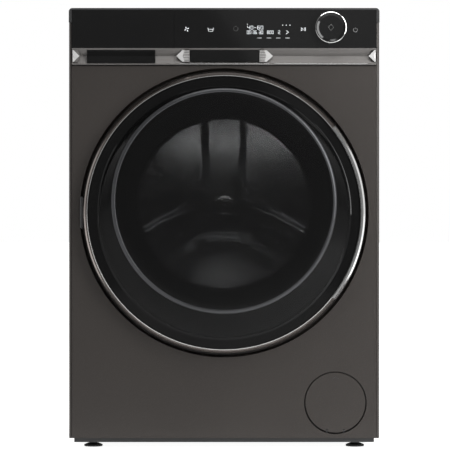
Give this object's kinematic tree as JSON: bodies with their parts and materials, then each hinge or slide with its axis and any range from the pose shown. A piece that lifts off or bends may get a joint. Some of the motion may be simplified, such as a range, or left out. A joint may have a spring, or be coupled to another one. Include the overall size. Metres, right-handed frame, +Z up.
{
  "type": "front load washing machine",
  "caption": "Free-standing front load washing machine with a round smoked-glass door, gloss black control panel, turning knob, detergent drawer and sprung tub with a direct-drive drum.",
  "frame": {"origin": "centre of the overall box's footprint, on the floor", "axes": "+Z up, +Y towards the rear wall, +X to the right seen from the front"},
  "size_m": [0.6, 0.6, 0.85],
  "materials": {
    "graphite_paint": "satin metallic",
    "zinc_sheet": "galvanised",
    "black_plastic": "fine grain",
    "worktop_board": "dark laminate",
    "black_gloss": "high gloss",
    "silver_strip": "satin metallic",
    "bright_chrome": "polished",
    "dark_chrome": "smoked",
    "smoked_window": "smoked",
    "bowl_glass": "clear",
    "door_rubber": "soft",
    "hose_rubber": "soft",
    "foot_plastic": "plain",
    "white_plastic": "smooth",
    "grey_plastic": "moulded",
    "pump_plastic": "moulded",
    "spring_steel": "oiled",
    "damper_black": "satin",
    "concrete": "cast",
    "copper_winding": "enamelled",
    "heater_steel": "satin",
    "drum_steel": "polished",
    "cast_alloy": "cast",
    "rotor_steel": "coated"
  },
  "bodies": {
    "cabinet": {"cabinet_shell": "graphite_paint", "rear_cover": "zinc_sheet", "rear_screws": "zinc_sheet", "base_tray": "black_plastic", "front_panel": "graphite_paint", "worktop": "worktop_board", "fascia_frame": "black_plastic", "control_glass": "black_gloss", "fascia_strip": "silver_strip", "strip_facets": "bright_chrome", "badge_plate": "black_gloss", "dispenser_housing": "grey_plastic", "inlet_valve": "white_plastic", "inlet_hose": "hose_rubber", "fill_hose": "hose_rubber", "control_box": "white_plastic", "gasket": "door_rubber", "door_hinge_bracket": "black_plastic", "door_hinge_pin": "spring_steel", "door_lock": "black_plastic", "suspension_springs": "spring_steel", "damper_cylinders": "damper_black", "filter_frame": "black_plastic", "pump_housing": "pump_plastic", "sump_hose": "hose_rubber", "drain_hose": "hose_rubber", "drain_outlet": "hose_rubber", "power_gland": "black_plastic"},
    "tub": {"tub_front": "grey_plastic", "tub_rear": "grey_plastic", "front_counterweight": "concrete", "top_counterweight": "concrete", "stator": "copper_winding", "heater": "heater_steel", "damper_rods": "spring_steel", "bearings": "spring_steel"},
    "drum": {"drum_shell": "drum_steel", "drum_back": "drum_steel", "drum_lifters": "drum_steel", "drum_spider": "cast_alloy", "rotor": "rotor_steel"},
    "door": {"door_bezel": "dark_chrome", "door_grip": "bright_chrome", "door_window": "smoked_window", "door_bowl": "bowl_glass", "door_inner_frame": "black_plastic"},
    "latch": {"latch_hook": "spring_steel"},
    "drawer": {"drawer_front": "black_gloss", "drawer_strip": "silver_strip", "drawer_pull": "black_gloss", "drawer_tray": "white_plastic"},
    "knob": {"program_knob": "black_gloss", "knob_ring": "bright_chrome"},
    "flap": {"filter_cover": "graphite_paint"},
    "filter": {"pump_filter": "pump_plastic"},
    "impeller": {"pump_impeller": "white_plastic"},
    "foot_front_left_body": {"foot_front_left": "foot_plastic"},
    "foot_front_right_body": {"foot_front_right": "foot_plastic"},
    "foot_rear_left_body": {"foot_rear_left": "foot_plastic"},
    "foot_rear_right_body": {"foot_rear_right": "foot_plastic"}
  },
  "joints": [
    {"name": "tub_suspension", "type": "slide", "parent": "cabinet", "child": "tub", "axis": [0, 0, 1], "range_m": [-0.01, 0.01], "stiffness_N_per_m": 30000, "springref_m": 0.01137, "deforming": ["suspension_springs", "gasket"]},
    {"name": "drum_spin", "type": "hinge", "parent": "tub", "child": "drum", "pos_m": [0, 0, 0.472], "axis": [0, 1, 0], "continuous": true},
    {"name": "door_hinge", "type": "hinge", "parent": "cabinet", "child": "door", "pos_m": [-0.2735, -0.266, 0.4546], "axis": [0, 0, -1], "range_deg": [0, 155]},
    {"name": "latch_pivot", "type": "hinge", "parent": "door", "child": "latch", "pos_m": [0.236, -0.246, 0.4546], "axis": [0, 0, 1], "range_deg": [0, 12], "stiffness_Nm_per_rad": 0.3, "springref_deg": -5.73},
    {"name": "drawer_slide", "type": "slide", "parent": "cabinet", "child": "drawer", "axis": [0, -1, 0], "range_m": [0, 0.26]},
    {"name": "knob_turn", "type": "hinge", "parent": "cabinet", "child": "knob", "pos_m": [0.2058, -0.26, 0.8117], "axis": [0, 1, 0], "continuous": true},
    {"name": "flap_hinge", "type": "hinge", "parent": "cabinet", "child": "flap", "pos_m": [0.215, -0.2508, 0.0339], "axis": [1, 0, 0], "range_deg": [0, 90]},
    {"name": "filter_turn", "type": "hinge", "parent": "cabinet", "child": "filter", "pos_m": [0.215, -0.2, 0.0873], "axis": [0, -1, 0], "range_deg": [0, 270]},
    {"name": "impeller_spin", "type": "hinge", "parent": "cabinet", "child": "impeller", "pos_m": [0.215, -0.075, 0.0873], "axis": [0, 1, 0], "continuous": true},
    {"name": "foot_front_left_turn", "type": "hinge", "parent": "cabinet", "child": "foot_front_left_body", "pos_m": [-0.255, -0.205, 0.01], "axis": [0, 0, 1], "continuous": true},
    {"name": "foot_front_right_turn", "type": "hinge", "parent": "cabinet", "child": "foot_front_right_body", "pos_m": [0.255, -0.205, 0.01], "axis": [0, 0, 1], "continuous": true},
    {"name": "foot_rear_left_turn", "type": "hinge", "parent": "cabinet", "child": "foot_rear_left_body", "pos_m": [-0.255, 0.24, 0.01], "axis": [0, 0, 1], "continuous": true},
    {"name": "foot_rear_right_turn", "type": "hinge", "parent": "cabinet", "child": "foot_rear_right_body", "pos_m": [0.255, 0.24, 0.01], "axis": [0, 0, 1], "continuous": true}
  ]
}
